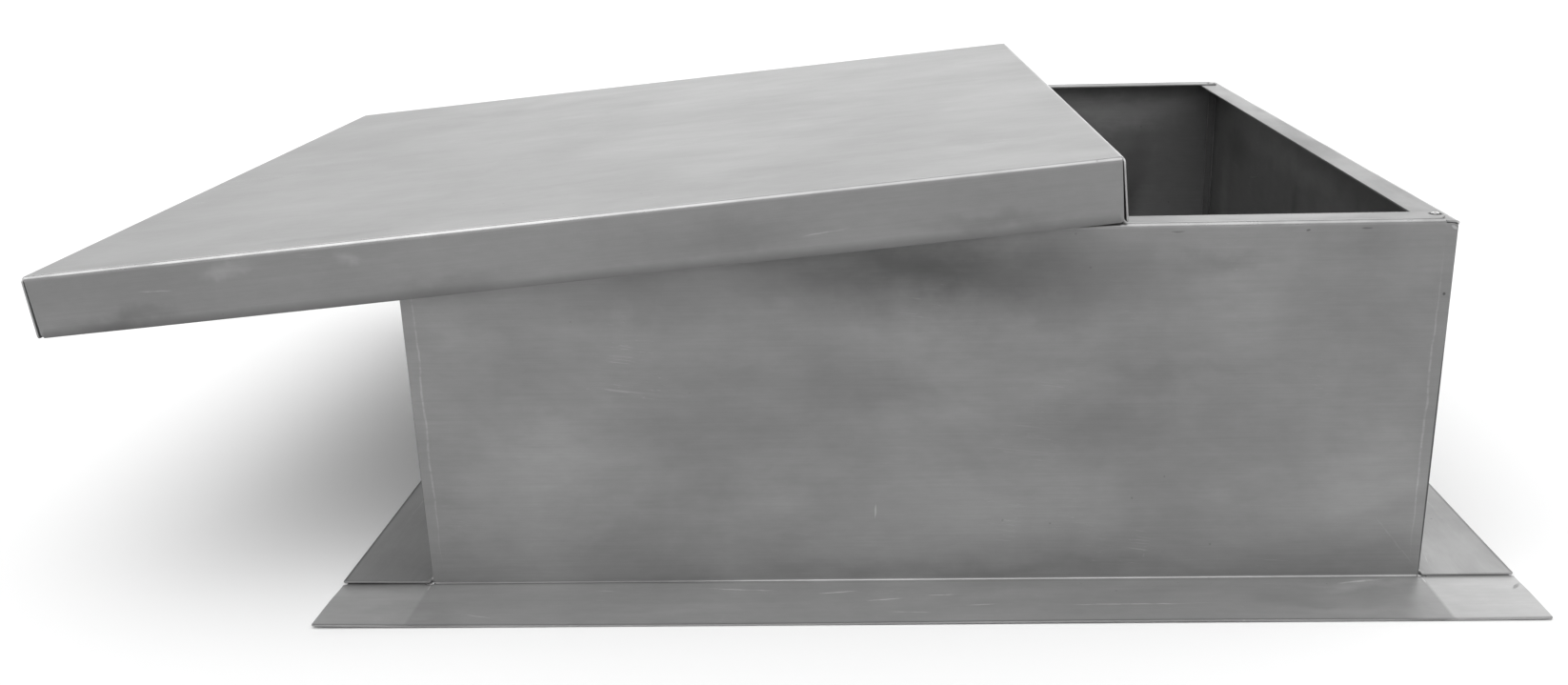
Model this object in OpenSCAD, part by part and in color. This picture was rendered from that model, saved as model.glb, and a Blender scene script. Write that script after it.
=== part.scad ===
// Deck hatch: a square folded-sheet curb with a base flange and a loose lift-off pan lid.
// Millimetres, +Z up. The origin is the centre of the curb's opening, in the plane
// that the base flange stands on. The lid lies askew on the curb.

/* [Curb] */
// Width of the curb over its side walls
curb_w = 832; // [700:1:1000]
// Depth of the curb over its front and back walls
curb_d = 832; // [700:1:1000]
// Height of the curb, from the deck to the top of the front and back rims
curb_h = 304.8; // [200:0.1:400]
// Width of the rim that is folded inwards along the top
rim_w = 27; // [24:0.5:60]
// Width of the base flange, from the wall's outer face
flange_w = 76; // [50:1:120]

/* [Sheet] */
// Thickness of the sheet metal
sheet_t = 1.6; // [1:0.1:2]
// Inside radius of every fold
fold_r = 1.6; // [1:0.1:2]

/* [Corners] */
// Width of the side walls' tabs behind the front and back walls
tab_w = 11; // [8:1:20]
// How far the front and back flanges run in under the side flanges
lap_w = 20; // [12:1:40]
// Radius of the round relief notch at each bottom corner
notch_r = 3.2; // [2.5:0.1:5]
// Length that the front and back rims stop short of the side walls' outer faces
rim_gap = 8; // [6:0.5:10]

/* [Rivets] */
// Radius of a blind rivet's body
rivet_r = 1.6; // [1.2:0.1:2]
// Radius of its domed head
rivet_head_r = 3.2; // [2.6:0.1:4]
// Height of its domed head
rivet_head_h = 0.8; // [0.5:0.1:0.9]
// Rivet's distance in from the side wall's outer face
rivet_in_x = 13; // [11:0.5:15]
// Rivet's distance in from the front or back wall's outer face
rivet_in_y = 20; // [14:0.5:22]

/* [Lid] */
// Width of the lid
lid_w = 868; // [740:1:1040]
// Depth of the lid
lid_d = 868; // [740:1:1040]
// Height of the lid over its skirt
lid_h = 51; // [40:1:70]
// Gap between neighbouring skirts at the top of a corner
corner_gap = 0.6; // [0.3:0.1:1]
// Gap between neighbouring skirts at the bottom of a corner
corner_gap_low = 1.8; // [1:0.1:2.5]

/* [Lid position] */
// Turn of the lid seen from above, left end towards the front, in degrees
lid_turn = 1.1; // [0:0.1:1.4]
// Distance from the curb's middle to the lid's right skirt, along the back rim
lid_reach = 144; // [0:1:300]
// Gap between the curb's front face and the lid's front skirt, at the right end
front_gap = 1; // [0.5:0.1:3]
// Gap left where the lid rests on the curb
rest_gap = 0.3; // [0.1:0.05:0.3]

/* [Hidden] */

$fn = 48;
overlap = 0.01;                           // so that joined pieces of one sheet share volume
fold_ro = fold_r + sheet_t;               // outside radius of a fold
half_w = curb_w / 2;
half_d = curb_d / 2;
side_wall_h = curb_h - 2 * sheet_t;       // side walls stand on the laps, with their rims under the end rims
rim_play = 0.3;                           // side rims stop short of the end walls' top folds
hole_r = rivet_r + 0.05;                  // rivet holes
bulb_r = 2.4;                             // blind end of a set rivet
bulb_h = 3;
mandrel_r = 0.7;
mandrel_head_r = 1.1;
rivet_x = half_w - rivet_in_x;
rivet_y = half_d - rivet_in_y;
tab_play = 2;                             // tabs stop short of the folds above and below
lap_edge = 3;                             // laps stay inside the side flange's outer edge
through = 20;                             // length of a cutter that passes right through a sheet

// The lid touches the curb at the left rivets' heads and at the back rim.
head_dome_r = (pow(rivet_head_r, 2) + pow(rivet_head_h, 2)) / (2 * rivet_head_h);
skirt_h = lid_h - sheet_t;                // depth of the lid's skirt below its underside
rest_z = curb_h + rest_gap;               // the right skirt's lowest edge
rest_dx = lid_reach + rivet_x;            // from the left heads' dome centres to the right skirt
rest_dz = rest_z - (curb_h + rivet_head_h - head_dome_r);
rest_len = norm([rest_dx, rest_dz]);
lid_tilt = atan2(rest_dz, rest_dx) + asin((skirt_h - head_dome_r - rest_gap) / rest_len);
// Distance from the lid's centreline to the point of its right skirt over the back rim's edge
rest_y = (curb_d + front_gap) / cos(lid_turn) - lid_d / 2 + sheet_t;

// ---------- folded sheet ----------

// Quarter ring of a fold, in plan: centred on the origin, in the +X +Y quadrant.
module fold_section() {
    intersection() {
        difference() {
            circle(r = fold_ro);
            circle(r = fold_r);
        }
        square(fold_ro + overlap);
    }
}

// A fold that runs along +X for the given length, turned about X by the given angle.
// At 0 it joins a sheet above it, facing +Y, to one beside it, facing +Z.
module fold_along_x(length, angle) {
    rotate([angle, 0, 0])
        rotate([90, 0, 90])
            translate([0, 0, -length / 2])
                linear_extrude(height = length)
                    fold_section();
}

// A box given by its lowest and highest corners.
module block(low, high) {
    translate(low)
        cube(high - low);
}

// ---------- curb ----------

// A wall's upright sheet with its top rim and its two folds, along X, facing -Y,
// with its outer face at y = 0 and its flange's underside at z = 0.
module wall_sheet(length, rim_length, height) {
    // upright
    block([-length / 2, 0, sheet_t + fold_r - overlap],
          [length / 2, sheet_t, height - fold_ro]);
    block([-rim_length / 2, 0, height - fold_ro - 1],
          [rim_length / 2, sheet_t, height - fold_ro + overlap]);
    // top fold and rim
    translate([0, fold_ro, height - fold_ro])
        fold_along_x(rim_length, 90);
    block([-rim_length / 2, fold_ro - overlap, height - sheet_t],
          [rim_length / 2, rim_w, height]);
    // bottom fold, which turns outwards
    translate([0, -fold_r, sheet_t + fold_r])
        fold_along_x(length, -90);
}

// Rivet holes at both ends of a rim that lies along X, as seen from a wall's own frame.
module rivet_holes(x, y, height) {
    for (side = [-1, 1])
        translate([side * x, y, height - through / 2])
            cylinder(r = hole_r, h = through);
}

// Front or back wall: it covers the corners, and its rim lies on the side walls' rims.
// Its flange has a wing at each end, with a lap that runs in under the side wall's flange.
module end_wall() {
    wing_x = half_w + flange_w;
    lap_in = half_w + fold_ro + 2;
    difference() {
        union() {
            wall_sheet(curb_w, curb_w - 2 * rim_gap, curb_h);
            block([-wing_x, -flange_w, 0], [wing_x, -fold_r + overlap, sheet_t]);
            for (side = [-1, 1])
                translate([side * (lap_in + wing_x - lap_edge) / 2, 0, 0])
                    block([-(wing_x - lap_edge - lap_in) / 2, -fold_r - 1, 0],
                          [(wing_x - lap_edge - lap_in) / 2, lap_w, sheet_t]);
        }
        for (side = [-1, 1])
            translate([side * half_w, -fold_r, -1])
                cylinder(r = notch_r, h = 2 + fold_ro + notch_r);
        rivet_holes(rivet_x, rivet_in_y, curb_h);
    }
}

// Side wall: it stands between the end walls, on their laps, and its rim runs in under
// their rims. A tab at each end turns in behind the end wall.
module side_wall() {
    inner_d = curb_d - 2 * sheet_t;
    straight_d = inner_d - 2 * fold_ro;
    rim_d = curb_d - 2 * (fold_ro + rim_play);
    tab_low = sheet_t + fold_ro + tab_play;
    tab_high = side_wall_h - fold_ro - tab_play;
    difference() {
        union() {
            wall_sheet(straight_d, rim_d, side_wall_h);
            block([-curb_d / 2, -flange_w, 0], [curb_d / 2, -fold_r + overlap, sheet_t]);
            for (side = [-1, 1])
                mirror([side < 0 ? 1 : 0, 0, 0]) {
                    translate([straight_d / 2, fold_ro, tab_low])
                        mirror([0, 1, 0])
                            linear_extrude(height = tab_high - tab_low)
                                fold_section();
                    block([inner_d / 2 - sheet_t, fold_ro - overlap, tab_low],
                          [inner_d / 2, tab_w, tab_high]);
                }
        }
        rivet_holes(rivet_y, rivet_in_x, side_wall_h);
    }
}

module front_wall() {
    color([0.53, 0.53, 0.53])
        translate([0, -half_d, 0])
            end_wall();
}

module back_wall() {
    color([0.50, 0.50, 0.50])
        rotate([0, 0, 180])
            translate([0, -half_d, 0])
                end_wall();
}

module left_wall() {
    color([0.45, 0.45, 0.45])
        translate([-half_w, 0, sheet_t])
            rotate([0, 0, -90])
                side_wall();
}

module right_wall() {
    color([0.62, 0.62, 0.62])
        translate([half_w, 0, sheet_t])
            rotate([0, 0, 90])
                side_wall();
}

// ---------- rivets ----------

// A set blind rivet: domed head on the end rim, body through both rims, bulb below.
module rivet() {
    grip = 2 * sheet_t;
    difference() {
        union() {
            intersection() {
                translate([0, 0, rivet_head_h - head_dome_r])
                    sphere(r = head_dome_r);
                cylinder(r = rivet_head_r, h = rivet_head_h + 1);
            }
            translate([0, 0, -grip - bulb_h])
                cylinder(r = rivet_r, h = grip + bulb_h + overlap);
            translate([0, 0, -grip - bulb_h])
                cylinder(r = bulb_r, h = bulb_h);
        }
        translate([0, 0, -grip - bulb_h - 1])
            cylinder(r = mandrel_r + 0.05, h = grip + bulb_h + rivet_head_h + 2);
    }
}

// The piece of the setting mandrel that stays in the rivet, with its ball end below.
module mandrel() {
    grip = 2 * sheet_t;
    low = -grip - bulb_h;
    translate([0, 0, low - mandrel_head_r])
        cylinder(r = mandrel_r, h = mandrel_head_r - low + 0.3);
    translate([0, 0, low - mandrel_head_r])
        sphere(r = mandrel_head_r);
}

// Puts a fastener at one corner of the rims: side and end are -1 or 1 along X and Y.
module at_corner(side, end) {
    translate([side * rivet_x, end * rivet_y, curb_h])
        children();
}

module corner_rivet(side, end) {
    color([0.70, 0.70, 0.70])
        at_corner(side, end)
            rivet();
}

module corner_mandrel(side, end) {
    color([0.40, 0.40, 0.40])
        at_corner(side, end)
            mandrel();
}

// ---------- lid ----------

// Outline of a front or back skirt, whose ends are cut back a little more at the bottom.
module skirt_outline(length, height) {
    polygon([
        [-length / 2 + corner_gap_low, 0],
        [length / 2 - corner_gap_low, 0],
        [length / 2 - corner_gap, height],
        [-length / 2 + corner_gap, height]
    ]);
}

// One edge of the pan: its fold and its skirt, along X, with the outer face at y = 0.
module pan_edge(fold_length) {
    translate([0, fold_ro, lid_h - fold_ro])
        fold_along_x(fold_length, 90);
    children();
}

// The pan, centred on X and Y, with its skirt's lower edge at z = 0.
module pan() {
    flat_w = lid_w - 2 * fold_ro;
    flat_d = lid_d - 2 * fold_ro;
    skirt_top = lid_h - fold_ro;
    block([-flat_w / 2 - overlap, -flat_d / 2 - overlap, lid_h - sheet_t],
          [flat_w / 2 + overlap, flat_d / 2 + overlap, lid_h]);
    // front and back
    for (turn = [0, 180])
        rotate([0, 0, turn])
            translate([0, -lid_d / 2, 0])
                pan_edge(flat_w)
                    translate([0, sheet_t, 0])
                        rotate([90, 0, 0])
                            linear_extrude(height = sheet_t)
                                skirt_outline(lid_w - 2 * sheet_t, skirt_top + overlap);
    // left and right, which run the full depth below the folds
    for (turn = [-90, 90])
        rotate([0, 0, turn])
            translate([0, -lid_w / 2, 0])
                pan_edge(flat_d) {
                    block([-lid_d / 2, 0, 0], [lid_d / 2, sheet_t, skirt_top - 1]);
                    block([-flat_d / 2, 0, skirt_top - 2],
                          [flat_d / 2, sheet_t, skirt_top + overlap]);
                }
}

// The pan where it lies: resting on the left rivets and, by its right skirt, on the
// back rim, and turned a little.
module lid() {
    color([0.78, 0.78, 0.78])
        translate([lid_reach, half_d, rest_z])
            rotate([0, -lid_tilt, 0])
                rotate([0, 0, lid_turn])
                    translate([-lid_w / 2 + sheet_t, -rest_y, 0])
                        pan();
}

front_wall();
back_wall();
left_wall();
right_wall();
corner_rivet(-1, -1);  // front_left_rivet
corner_rivet(1, -1);  // front_right_rivet
corner_rivet(-1, 1);  // back_left_rivet
corner_rivet(1, 1);  // back_right_rivet
corner_mandrel(-1, -1);  // front_left_mandrel
corner_mandrel(1, -1);  // front_right_mandrel
corner_mandrel(-1, 1);  // back_left_mandrel
corner_mandrel(1, 1);  // back_right_mandrel
lid();
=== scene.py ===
"""Looks of the deck hatch: a folded aluminium curb with a loose pan lid.

Every sheet is built from its own flat pattern: an outline that is triangulated,
folded to the CAD node's place, given its thickness, and dented a little.
Metres, +Z up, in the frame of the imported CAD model.
"""

import math

import bpy
import numpy as np
from mathutils import Matrix, Vector
from mathutils.geometry import delaunay_2d_cdt


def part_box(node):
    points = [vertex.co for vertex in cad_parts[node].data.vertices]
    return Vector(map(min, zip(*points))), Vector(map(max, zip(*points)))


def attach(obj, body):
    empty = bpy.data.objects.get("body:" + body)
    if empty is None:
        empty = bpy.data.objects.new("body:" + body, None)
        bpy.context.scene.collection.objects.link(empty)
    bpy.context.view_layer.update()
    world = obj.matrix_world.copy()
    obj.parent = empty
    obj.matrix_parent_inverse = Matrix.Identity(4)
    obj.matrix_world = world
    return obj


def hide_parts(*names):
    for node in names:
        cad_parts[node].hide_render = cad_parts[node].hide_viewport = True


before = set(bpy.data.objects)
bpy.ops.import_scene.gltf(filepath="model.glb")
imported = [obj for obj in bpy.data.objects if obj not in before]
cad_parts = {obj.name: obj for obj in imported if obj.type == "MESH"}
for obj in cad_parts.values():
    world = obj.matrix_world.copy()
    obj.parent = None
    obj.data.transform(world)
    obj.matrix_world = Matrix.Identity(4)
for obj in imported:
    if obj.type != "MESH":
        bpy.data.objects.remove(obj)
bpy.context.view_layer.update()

# ---------- sizes that the CAD model shares ----------
SHEET = 0.0016                    # sheet thickness
FOLD_IN = 0.0016                  # inside radius of a fold
FOLD_OUT = FOLD_IN + SHEET
FOLD_MID = FOLD_IN + SHEET / 2
FOLD_LEN = FOLD_MID * math.pi / 2     # length of a fold along the middle of the sheet
FLANGE = 0.076                    # base flange, from the wall's outer face
RIM = 0.027                       # rim folded inwards along the top
TAB = 0.011                       # side walls' tabs behind the end walls
TAB_PLAY = 0.002                  # tabs stop short of the folds above and below
LAP = 0.020                       # end flanges' laps under the side flanges
LAP_EDGE = 0.003                  # laps stay inside the side flange's outer edge
LAP_START = 0.002                 # and clear of the side wall's fold
NOTCH_R = 0.0026                  # relief notch at each bottom corner, in the fold
NOTCH_RISE = 0.85                 # height of its centre above the flange, in radii
RIM_GAP = 0.008                   # end rims stop short of the corner
HOLE_R = 0.00165                  # rivet holes
SEAM = 0.0016                     # end walls stop short of the side walls' outer faces
LIFT = 0.0003                     # side flanges' ends stand off the laps
LID_SIDE = 0.868                  # the lid's outer width and depth
LID_H = 0.051                     # its height, skirts included
LID_CORNER_GAP = 0.0006           # front and back skirts' ends stop short of the side skirts,
LID_CORNER_GAP_LOW = 0.0018       # and more so at the lower edge
LID_TURN = math.radians(1.1)      # its turn on the curb, left end towards the front
LID_REACH = 0.144                 # from the curb's middle to its right skirt, along the back rim
LID_FRONT_GAP = 0.001             # between the curb's front and its front skirt, at the right end
REST_GAP = 0.0003                 # it is stored this far clear of what it rests on
HEAD_R = 0.0032                   # domed head of a rivet
HEAD_H = 0.0008                   # the dome's height

HALF_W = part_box("front_wall")[1].x - FLANGE   # side walls' outer faces
HALF_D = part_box("left_wall")[1].y             # end walls' outer faces
END_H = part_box("front_wall")[1].z             # top of the end rims, which lie on the side rims
SIDE_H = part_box("left_wall")[1].z - SHEET     # side walls' own height; they stand on the laps
TAB_LINE = HALF_W - TAB                       # where a tab behind an end wall stops
SIDE_FLAT = HALF_D - SHEET - FOLD_OUT         # where a side wall's upright folds into its tab
RIVET = (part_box("front_right_rivet")[0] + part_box("front_right_rivet")[1]) / 2
RIVET_V = RIM - (HALF_D + RIVET.y)            # rivets on the end walls' flat pattern

# ---------- meshing ----------
GRID = 0.012                      # spacing of the mesh on the open sheet
FOLD_STEPS = 6
EDGE_EASE = 0.00022               # ease on every cut edge
KEEP_OFF = 0.0016                 # grid points nearer than this to an outline are left out
CLOSE, WIDE = 0.0012, 0.004       # mesh lines beside a fold
BUCKLE = 0.0006                   # shallow waves of a wall's upright


def smooth(x, low, high):
    """0 below low, 1 above high, and a smooth rise between them."""
    t = np.clip((np.asarray(x, float) - low) / (high - low), 0, 1)
    return t * t * (3 - 2 * t)


def hump(x, centre, width):
    """A smooth bump of height 1 at centre, about width wide."""
    return np.exp(-((np.asarray(x, float) - centre) / (width / 2)) ** 2)


def arc(cx, cy, r, start, end, steps):
    """Points on a circle from one angle to another, in degrees."""
    angles = np.radians(np.linspace(start, end, steps + 1))
    return [(cx + r * math.cos(a), cy + r * math.sin(a)) for a in angles]


def inside(points, loop):
    """For each point, whether it is inside a closed loop."""
    x, y = points[:, 0], points[:, 1]
    result = np.zeros(len(points), bool)
    for (x0, y0), (x1, y1) in zip(loop, np.roll(loop, -1, axis=0)):
        if y0 != y1:
            crosses = (y0 > y) != (y1 > y)
            result ^= crosses & (x < (x1 - x0) * (y - y0) / (y1 - y0) + x0)
    return result


def distance(points, loop):
    """Distance from each point to a closed loop."""
    best = np.full(len(points), 1e9)
    for a, b in zip(loop, np.roll(loop, -1, axis=0)):
        along = np.clip(((points - a) @ (b - a)) / max(((b - a) ** 2).sum(), 1e-18), 0, 1)
        best = np.minimum(best, np.linalg.norm(points - a - along[:, None] * (b - a), axis=1))
    return best


def divide(loop, rows):
    """Splits a loop's edges at the grid spacing, and where they cross the given rows."""
    result = []
    for a, b in zip(loop, np.roll(loop, -1, axis=0)):
        cuts = set(np.linspace(0, 1, max(1, math.ceil(np.linalg.norm(b - a) / GRID)) + 1)[:-1])
        if abs(b[1] - a[1]) > 1e-7:
            crossings = [(row - a[1]) / (b[1] - a[1]) for row in rows]
            near = 2e-4 / np.linalg.norm(b - a)
            crossings = [t for t in crossings if near < t < 1 - near]
            cuts = {t for t in cuts if t == 0 or all(abs(t - c) > near * 4 for c in crossings)}
            cuts |= set(crossings)
        result += [a + (b - a) * t for t in sorted(cuts)]
    return np.array(result)


def linked(name, data):
    """A new object in the scene."""
    obj = bpy.data.objects.new(name, data)
    bpy.context.scene.collection.objects.link(obj)
    return obj


def sheet_object(name, outline, holes, columns, rows, place, folded, shade):
    """A sheet with thickness. outline and holes are loops in the flat pattern (u, v), columns
    and rows are the mesh lines, and place turns arrays u, v into points on the mid-surface.
    folded says how much painted highlight each point of a fold gets, from 0 to 1, and shade
    how much painted light or shade brightens or darkens the metal there."""
    loops = [divide(np.array(loop, float), rows) for loop in [outline, *holes]]
    grid = np.array([(u, v) for v in rows for u in columns])
    keep = inside(grid, loops[0]) & (distance(grid, loops[0]) > KEEP_OFF)
    for loop in loops[1:]:
        keep &= ~inside(grid, loop) & (distance(grid, loop) > KEEP_OFF)
    points = np.vstack([*loops, grid[keep]])
    edges, start = [], 0
    for loop in loops:
        n = len(loop)
        edges += [(start + i, start + (i + 1) % n) for i in range(n)]
        start += n
    made = delaunay_2d_cdt([Vector(p) for p in points], edges, [], 0, 1e-7)
    flat = np.array([tuple(p) for p in made[0]])
    faces = np.array([tuple(f) for f in made[2]])
    middle = flat[faces].mean(axis=1)
    keep = inside(middle, loops[0])
    for loop in loops[1:]:
        keep &= ~inside(middle, loop)
    faces = faces[keep]
    a, b, c = (flat[faces[:, i]] for i in range(3))
    turned = (b - a)[:, 0] * (c - a)[:, 1] - (b - a)[:, 1] * (c - a)[:, 0] < 0
    faces[turned] = faces[turned][:, ::-1]
    used = np.unique(faces)
    renumber = -np.ones(len(flat), int)
    renumber[used] = np.arange(len(used))
    flat, faces = flat[used], renumber[faces]

    # The border: each edge that has one face, in the direction of that face
    border = {}
    for f in faces:
        for i in range(3):
            border[(f[i], f[(i + 1) % 3])] = True
    border = [(p, q) for p, q in border if (q, p) not in border]
    outward = np.zeros((len(flat), 2))
    for p, q in border:
        d = flat[q] - flat[p]
        normal = np.array([d[1], -d[0]]) / max(np.linalg.norm(d), 1e-12)
        outward[p] += normal
        outward[q] += normal
    size = np.linalg.norm(outward, axis=1)
    rim_ids = np.flatnonzero(size)
    outward[rim_ids] /= size[rim_ids, None]
    eased = flat - outward * EDGE_EASE

    def frame_at(uv):
        """Mid-surface points and unit vectors: along u, along v and outwards."""
        step = 2e-5
        mid = place(uv[:, 0], uv[:, 1])
        du = place(uv[:, 0] + step, uv[:, 1]) - place(uv[:, 0] - step, uv[:, 1])
        dv = place(uv[:, 0], uv[:, 1] + step) - place(uv[:, 0], uv[:, 1] - step)
        du /= np.linalg.norm(du, axis=1)[:, None]
        dv /= np.linalg.norm(dv, axis=1)[:, None]
        n = np.cross(du, dv)
        return mid, du, dv, n / np.linalg.norm(n, axis=1)[:, None]

    mid, _, _, n = frame_at(eased)
    edge_mid, du, dv, edge_n = frame_at(flat[rim_ids])
    edge_out = du * outward[rim_ids, :1] + dv * outward[rim_ids, 1:]
    edge_out /= np.linalg.norm(edge_out, axis=1)[:, None]
    lip = SHEET / 2 - EDGE_EASE
    verts = np.vstack([mid + n * SHEET / 2, mid - n * SHEET / 2,
                       edge_mid + edge_n * lip, edge_mid - edge_n * lip])
    normals = np.vstack([n, -n, edge_out, edge_out])
    count, rim_count = len(flat), len(rim_ids)
    ring = {p: 2 * count + i for i, p in enumerate(rim_ids)}
    low_ring = {p: 2 * count + rim_count + i for i, p in enumerate(rim_ids)}
    all_faces = [tuple(f) for f in faces] + [tuple(f[::-1] + count) for f in faces]
    for p, q in border:
        all_faces += [(q, p, ring[p], ring[q]), (ring[q], ring[p], low_ring[p], low_ring[q]),
                      (low_ring[q], low_ring[p], p + count, q + count)]
    flat_all = np.vstack([flat, flat, flat[rim_ids], flat[rim_ids]])
    marks = {"cut_edge": np.repeat([0, 1], [2 * count, 2 * rim_count]),
             "back_side": np.repeat([0, 1, 0], [count, count, 2 * rim_count]),
             "fold": folded(flat_all[:, 0], flat_all[:, 1]),
             "shade": shade(flat_all[:, 0], flat_all[:, 1])}
    return mesh_object(name, verts, all_faces, normals, flat_all, marks)


def mesh_object(name, verts, faces, normals, flat, marks):
    """A smooth-shaded object with given vertex normals, its flat pattern as a UV map in
    metres, and attributes for its material."""
    mesh = bpy.data.meshes.new(name)
    mesh.from_pydata([tuple(v) for v in verts], [], [tuple(int(i) for i in f) for f in faces])
    mesh.polygons.foreach_set("use_smooth", [True] * len(mesh.polygons))
    mesh.normals_split_custom_set_from_vertices([tuple(n) for n in normals])
    corner_verts = np.zeros(len(mesh.loops), int)
    mesh.loops.foreach_get("vertex_index", corner_verts)
    layer = mesh.uv_layers.new(name="flat")
    layer.data.foreach_set("uv", np.asarray(flat, float)[corner_verts].ravel())
    for key, values in marks.items():
        attribute = mesh.attributes.new(key, "FLOAT", "POINT")
        attribute.data.foreach_set("value", np.asarray(values, np.float32))
    mesh.update()
    return linked(name, mesh)


def moved(points, matrix):
    """Points moved by a 4x4 matrix."""
    m = np.array(matrix)
    return points @ m[:3, :3].T + m[:3, 3]


# ---------- curb walls ----------
# Flat pattern of a wall: u along it, v from the rim's inner edge down and out to the
# flange's outer edge.
V_RIM = RIM - FOLD_OUT
V_TOP = V_RIM + FOLD_LEN
V_BOTTOM = V_TOP + END_H - 2 * FOLD_OUT
V_FLANGE = V_BOTTOM + FOLD_LEN
V_EDGE = V_FLANGE + FLANGE - FOLD_IN


def fold_rows(start):
    """Mesh rows through a fold, and close beside it."""
    steps = [start + FOLD_LEN * i / FOLD_STEPS for i in range(FOLD_STEPS + 1)]
    return [start - WIDE, start - CLOSE, *steps, steps[-1] + CLOSE, steps[-1] + WIDE]


def spread(low, high, extra=()):
    """Evenly spaced mesh lines between two values, and some extra ones."""
    even = np.linspace(low, high, max(2, round((high - low) / GRID)) + 1)
    extra = np.array(sorted(extra))
    if len(extra):
        even = [x for x in even if np.abs(extra - x).min() > GRID / 3]
    return sorted([*even, *extra])


def wall_section(v):
    """Depth behind the wall's outer face and height, along the folded section, with v."""
    v = np.asarray(v, float)
    a = np.clip((v - V_RIM) / FOLD_MID, 0, math.pi / 2)
    b = np.clip((v - V_BOTTOM) / FOLD_MID, 0, math.pi / 2)
    depth = np.where(v < V_RIM, RIM - v,
             np.where(v < V_TOP, FOLD_OUT - FOLD_MID * np.sin(a),
              np.where(v < V_BOTTOM, SHEET / 2,
               np.where(v < V_FLANGE, FOLD_MID * np.cos(b) - FOLD_IN, -FOLD_IN - (v - V_FLANGE)))))
    height = np.where(v < V_RIM, END_H - SHEET / 2,
              np.where(v < V_TOP, END_H - FOLD_OUT + FOLD_MID * np.cos(a),
               np.where(v < V_BOTTOM, END_H - FOLD_OUT - (v - V_TOP),
                np.where(v < V_FLANGE, FOLD_OUT - FOLD_MID * np.sin(b), SHEET / 2))))
    return depth, height


def buckle(u, v, seed):
    """Shallow waves of a thin sheet that die out towards its folds and ends."""
    rng = np.random.default_rng(seed)
    waves = 0
    for _ in range(5):
        ku, kv = rng.uniform(3, 11), rng.uniform(4, 14)
        waves = waves + rng.uniform(-1, 1) * np.sin(ku * u + rng.uniform(0, 6)) * np.cos(
            kv * v + rng.uniform(0, 6))
    across = smooth(v, V_TOP + 0.02, V_TOP + 0.12) * (
        1 - smooth(v, V_BOTTOM - 0.10, V_BOTTOM - 0.01))
    return BUCKLE * waves * across * (1 - smooth(np.abs(u), HALF_W - 0.12, HALF_W - 0.02))


def end_outline():
    """A front or back wall's flat pattern: one half, and its mirror image."""
    wing = HALF_W + FLANGE
    lap_in = HALF_W + FOLD_OUT + LAP_START
    lap_v = V_FLANGE - LAP - FOLD_IN
    edge = HALF_W - SEAM
    # The fold strip is cut off at a slant beside the rivet, and the corner below it is nipped
    half = [(HALF_W - RIM_GAP, 0), (HALF_W - RIM_GAP, V_RIM - 0.009),
            (HALF_W - 0.0135, V_RIM - 0.001), (HALF_W - 0.0105, V_TOP + 0.0002),
            (edge - 0.003, V_TOP + 0.0004), (edge - 0.0008, V_TOP + 0.0014), (edge, V_TOP + 0.0026)]
    # The relief notch is in the bottom fold, where the upright's edge meets the wing
    notch_v = V_FLANGE - NOTCH_RISE * NOTCH_R
    past_edge = math.degrees(math.acos(SEAM / NOTCH_R))
    past_flange = math.degrees(math.asin(NOTCH_RISE))
    half += arc(HALF_W, notch_v, NOTCH_R, past_edge - 180, past_flange - 360, 12)
    half += [(lap_in, V_FLANGE), (lap_in, lap_v + 0.003), (lap_in + 0.003, lap_v),
             (wing - LAP_EDGE - 0.004, lap_v), (wing - LAP_EDGE, lap_v + 0.004),
             (wing - LAP_EDGE, V_FLANGE - 0.0005), (wing, V_FLANGE), (wing, V_EDGE - 0.001),
             (wing - 0.001, V_EDGE)]
    return half + [(-u, v) for u, v in reversed(half)]


def end_place(sign, seed):
    """Places a front (-1) or back (1) wall."""
    def place(u, v):
        u, v = np.asarray(u, float), np.asarray(v, float)
        depth, height = wall_section(v)
        beyond = np.abs(u) > HALF_W + FOLD_OUT
        depth = np.where(beyond, -FOLD_IN - (v - V_FLANGE), depth)
        height = np.where(beyond, SHEET / 2, height)
        upright = (v > V_TOP) & (v < V_BOTTOM) & ~beyond
        depth = depth - np.where(upright, buckle(u, v, seed), 0)
        # The tabs behind show as a faint ridge
        ridge = 0.00016 * hump(np.abs(u), TAB_LINE, 0.003)
        depth = depth - np.where(upright, ridge * smooth(v, V_TOP, V_TOP + 0.02)
                                 * (1 - smooth(v, V_BOTTOM - 0.02, V_BOTTOM)), 0)
        # The wings rise a little from a crease in line with the side wall
        out = smooth(v, V_FLANGE + 0.004, V_FLANGE + 0.03)
        height = height + 0.014 * np.clip(np.abs(u) - HALF_W + 0.001, 0, None) * out
        height = height + 0.0005 * out * (1 + np.sin(9 * u + seed)) * smooth(v, V_FLANGE, V_EDGE)
        return np.stack([sign * u, sign * (HALF_D - depth), height], axis=1)
    return place


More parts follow.
